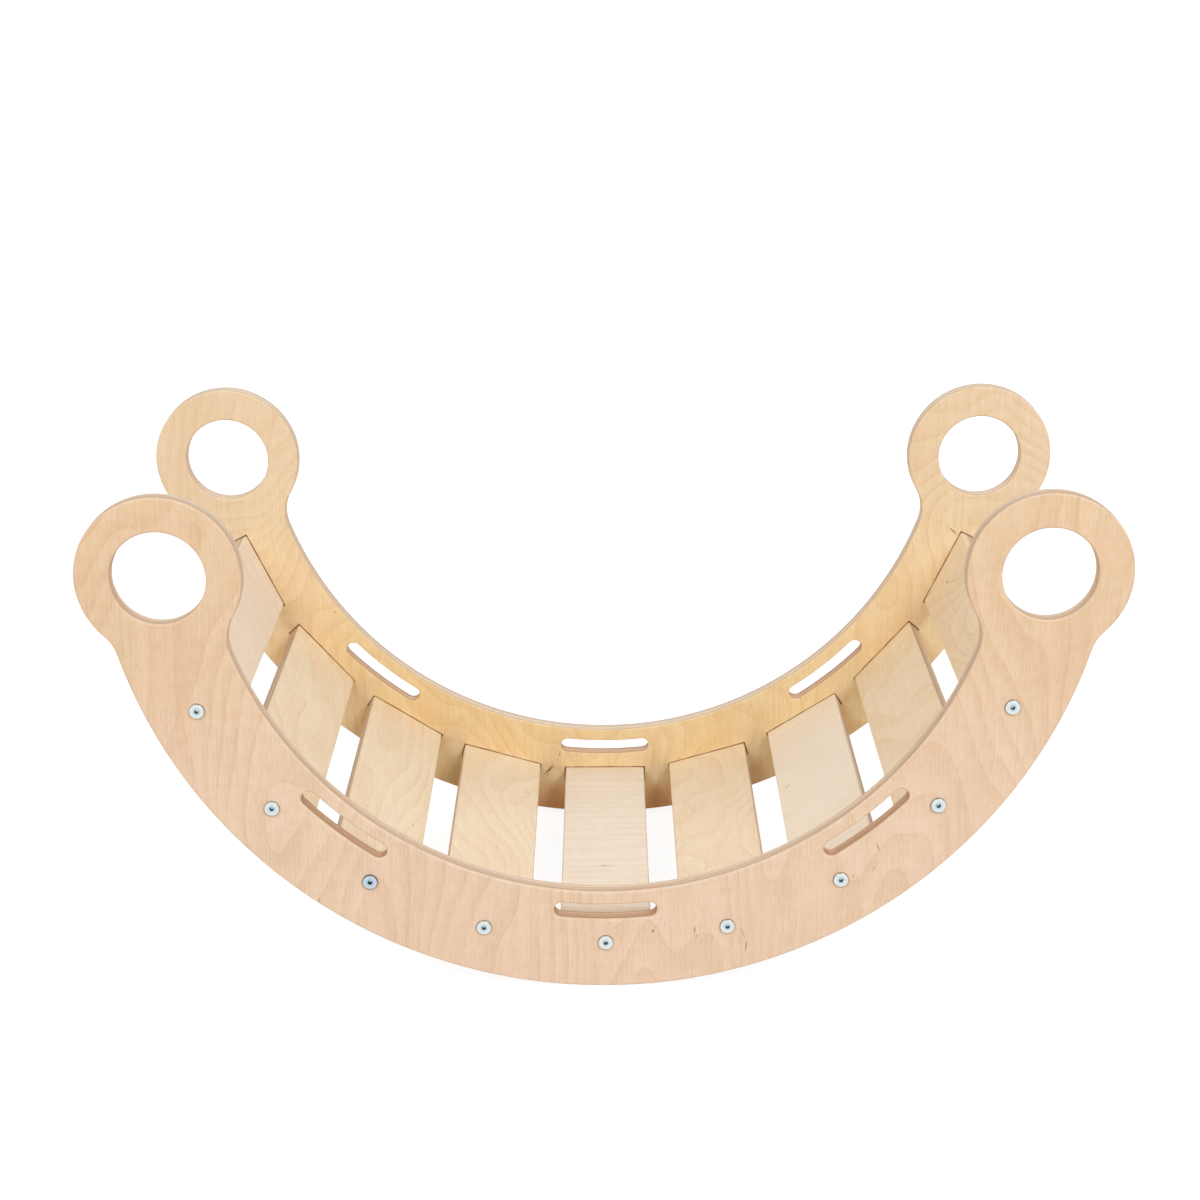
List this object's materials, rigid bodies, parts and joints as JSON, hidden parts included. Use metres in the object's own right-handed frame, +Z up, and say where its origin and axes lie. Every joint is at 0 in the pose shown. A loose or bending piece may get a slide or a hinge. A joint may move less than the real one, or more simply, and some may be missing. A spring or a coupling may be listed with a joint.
{
  "type": "arch rocker",
  "caption": "Open wooden rocker for a child: two curved plywood side panels with ring ends and hand slots, joined by flat slats bolted into shallow housings.",
  "frame": {"origin": "on the floor, under the middle of the rocker: the bottom centre of its bounding box", "axes": "+X along the rocker's length, the way it rocks; +Y across it, from the front panel to the rear panel; +Z up"},
  "size_m": [1.0092, 0.4614, 0.5129],
  "materials": {
    "birch_panel": "birch plywood, sanded and clear lacquered, satin",
    "birch_slat": "birch plywood, sanded and clear lacquered, satin",
    "bolt_zinc": "bright zinc plated",
    "nut_zinc": "dull zinc plated"
  },
  "bodies": {
    "root": {"side_panel_front": "birch_panel", "side_panel_rear": "birch_panel", "slat_1": "birch_slat", "slat_2": "birch_slat", "slat_3": "birch_slat", "slat_4": "birch_slat", "slat_5": "birch_slat", "slat_6": "birch_slat", "slat_7": "birch_slat", "slat_8": "birch_slat", "slat_9": "birch_slat", "bolt_front_1": "bolt_zinc", "bolt_front_2": "bolt_zinc", "bolt_front_3": "bolt_zinc", "bolt_front_4": "bolt_zinc", "bolt_front_5": "bolt_zinc", "bolt_front_6": "bolt_zinc", "bolt_front_7": "bolt_zinc", "bolt_front_8": "bolt_zinc", "bolt_front_9": "bolt_zinc", "bolt_rear_1": "bolt_zinc", "bolt_rear_2": "bolt_zinc", "bolt_rear_3": "bolt_zinc", "bolt_rear_4": "bolt_zinc", "bolt_rear_5": "bolt_zinc", "bolt_rear_6": "bolt_zinc", "bolt_rear_7": "bolt_zinc", "bolt_rear_8": "bolt_zinc", "bolt_rear_9": "bolt_zinc", "barrel_nut_front_1": "nut_zinc", "barrel_nut_front_2": "nut_zinc", "barrel_nut_front_3": "nut_zinc", "barrel_nut_front_4": "nut_zinc", "barrel_nut_front_5": "nut_zinc", "barrel_nut_front_6": "nut_zinc", "barrel_nut_front_7": "nut_zinc", "barrel_nut_front_8": "nut_zinc", "barrel_nut_front_9": "nut_zinc", "barrel_nut_rear_1": "nut_zinc", "barrel_nut_rear_2": "nut_zinc", "barrel_nut_rear_3": "nut_zinc", "barrel_nut_rear_4": "nut_zinc", "barrel_nut_rear_5": "nut_zinc", "barrel_nut_rear_6": "nut_zinc", "barrel_nut_rear_7": "nut_zinc", "barrel_nut_rear_8": "nut_zinc", "barrel_nut_rear_9": "nut_zinc"}
  },
  "joints": []
}
